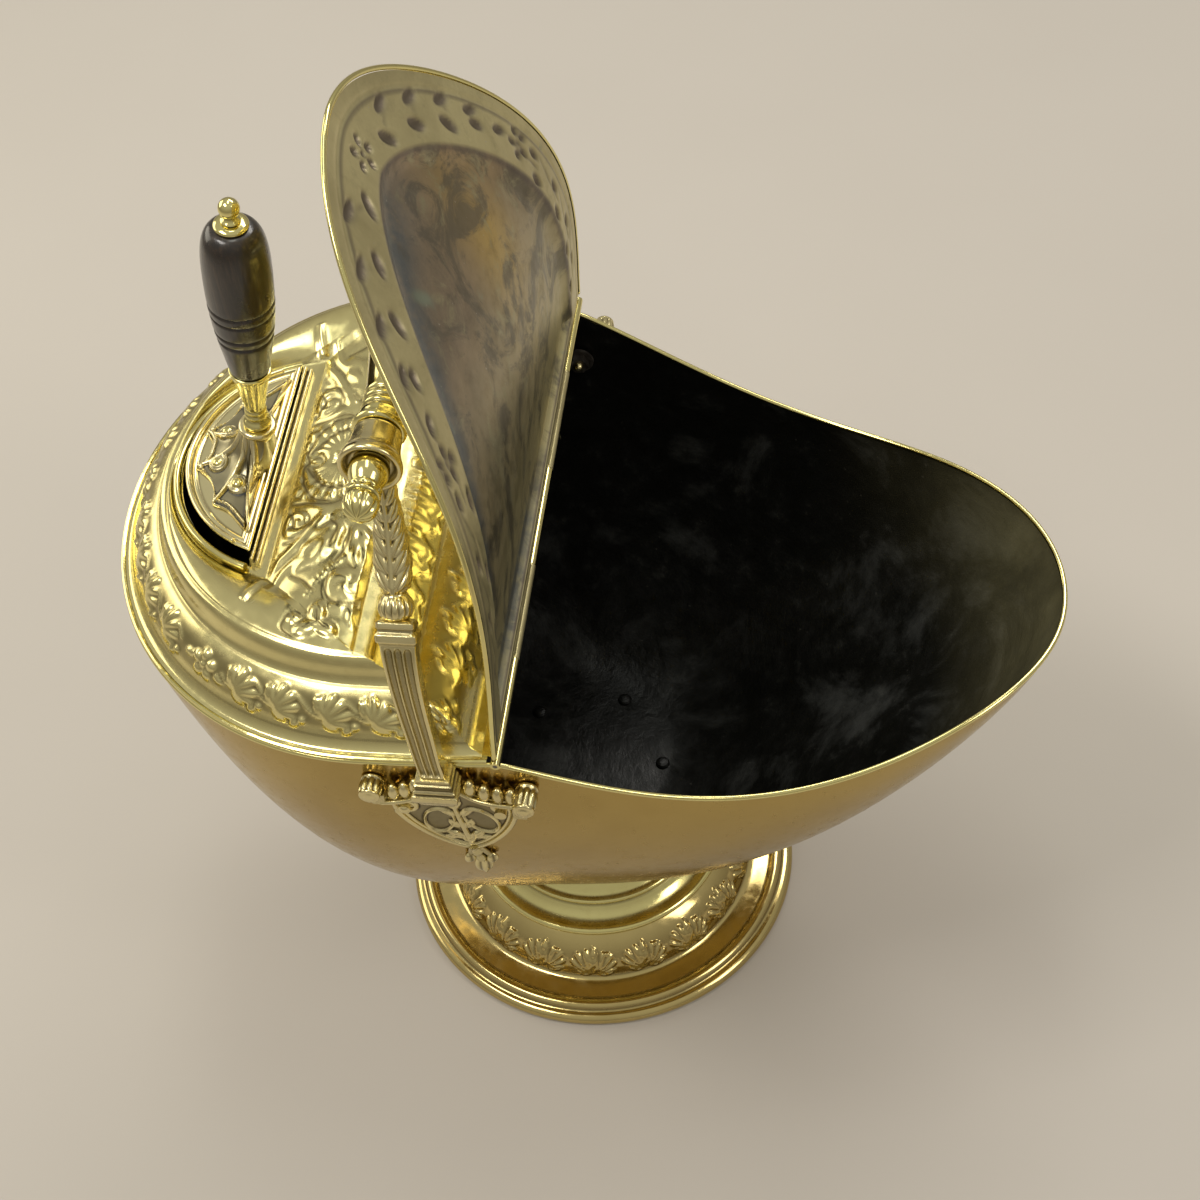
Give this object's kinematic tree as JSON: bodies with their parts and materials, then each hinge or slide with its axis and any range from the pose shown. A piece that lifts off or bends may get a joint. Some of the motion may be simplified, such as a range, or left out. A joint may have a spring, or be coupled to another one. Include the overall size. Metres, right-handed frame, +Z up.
{
  "type": "coal scuttle",
  "caption": "Footed helmet coal scuttle in brass with a domed back cover, a hinged lid over the mouth, an arched carrying handle with a turned grip, and a hand scoop kept in a slot at the back",
  "frame": {"origin": "the middle of the plan of the whole scuttle, on the floor under the foot", "axes": "+X towards the pouring lip, +Y across the scuttle to the far side of the picture, +Z up"},
  "size_m": [0.4856, 0.3368, 0.5885],
  "materials": {
    "polished_brass": "polished sheet brass with fine rubbing marks and darker brown in the creases",
    "embossed_brass": "polished brass with embossed ornament and brown patina in the hollows",
    "cast_brass": "cast and hand-finished brass, bright on the ridges and dark in the recesses",
    "tarnished_brass": "brass gone grey-brown with handling, with small green specks",
    "iron_fasteners": "dull dark iron",
    "ebonised_wood": "ebonised turned wood with a worn wax polish"
  },
  "bodies": {
    "scuttle": {"bowl": "polished_brass", "bowl_rim_bead": "polished_brass", "foot": "polished_brass", "foot_neck": "polished_brass", "foot_rivets": "iron_fasteners", "back_cover": "embossed_brass", "cover_edge_bead": "polished_brass", "slot_rim": "polished_brass", "slot_front_bar": "polished_brass", "fixed_hinge_knuckles": "polished_brass", "hinge_pin": "iron_fasteners", "near_bracket": "cast_brass", "far_bracket": "cast_brass", "bracket_screws": "iron_fasteners", "bracket_nuts": "iron_fasteners", "near_handle_arm": "cast_brass", "far_handle_arm": "cast_brass", "handle_grip": "polished_brass", "grip_rod": "iron_fasteners", "grip_end_nuts": "polished_brass"},
    "lid": {"lid_panel": "tarnished_brass", "lid_edge_bead": "polished_brass", "lid_hinge_knuckles": "tarnished_brass"},
    "scoop": {"scoop_trough": "tarnished_brass", "scoop_back_plate": "polished_brass", "scoop_edge_bead": "polished_brass", "scoop_handle_casting": "cast_brass", "casting_rivets": "polished_brass", "scoop_ferrule": "polished_brass", "scoop_tang": "iron_fasteners", "scoop_wood_handle": "ebonised_wood", "handle_washer": "polished_brass", "handle_ball_knob": "polished_brass"}
  },
  "joints": [
    {"name": "lid_hinge", "type": "hinge", "parent": "scuttle", "child": "lid", "pos_m": [-0.0255, 0, 0.3335], "axis": [0, 1, 0], "range_deg": [0, 113.2]},
    {"name": "scoop_lift", "type": "slide", "parent": "scuttle", "child": "scoop", "axis": [-0.1305, 0, 0.9914], "range_m": [0, 0.15]}
  ]
}
